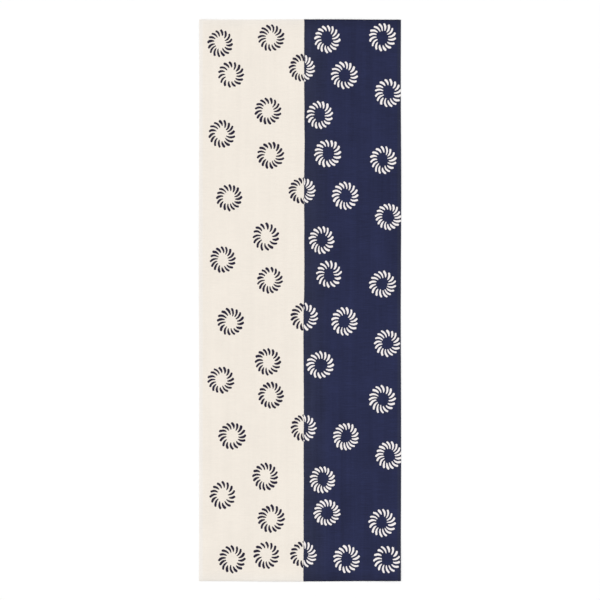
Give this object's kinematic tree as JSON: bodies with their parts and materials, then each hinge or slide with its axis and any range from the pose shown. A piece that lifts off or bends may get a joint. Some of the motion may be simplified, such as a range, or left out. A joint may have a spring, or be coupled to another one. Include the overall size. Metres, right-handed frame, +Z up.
{
  "type": "tenugui towel",
  "caption": "Long narrow flat cloth of thin plain-woven cotton, two-tone lengthwise, dyed with scattered rings of twisted petal strokes.",
  "frame": {"origin": "under the middle of the cloth, at the height of the surface it lies on", "axes": "+X across the width towards the navy selvedge, +Y along the length towards the upper cut end, +Z up off the surface, out of the face that shows"},
  "size_m": [0.335, 0.931, 0.002],
  "materials": {
    "dyed_cotton": "thin plain-woven cotton, matt, undyed cream over the left half and dyed through in navy over the right half"
  },
  "bodies": {
    "root": {"tenugui_cloth": "dyed_cotton"}
  },
  "joints": []
}
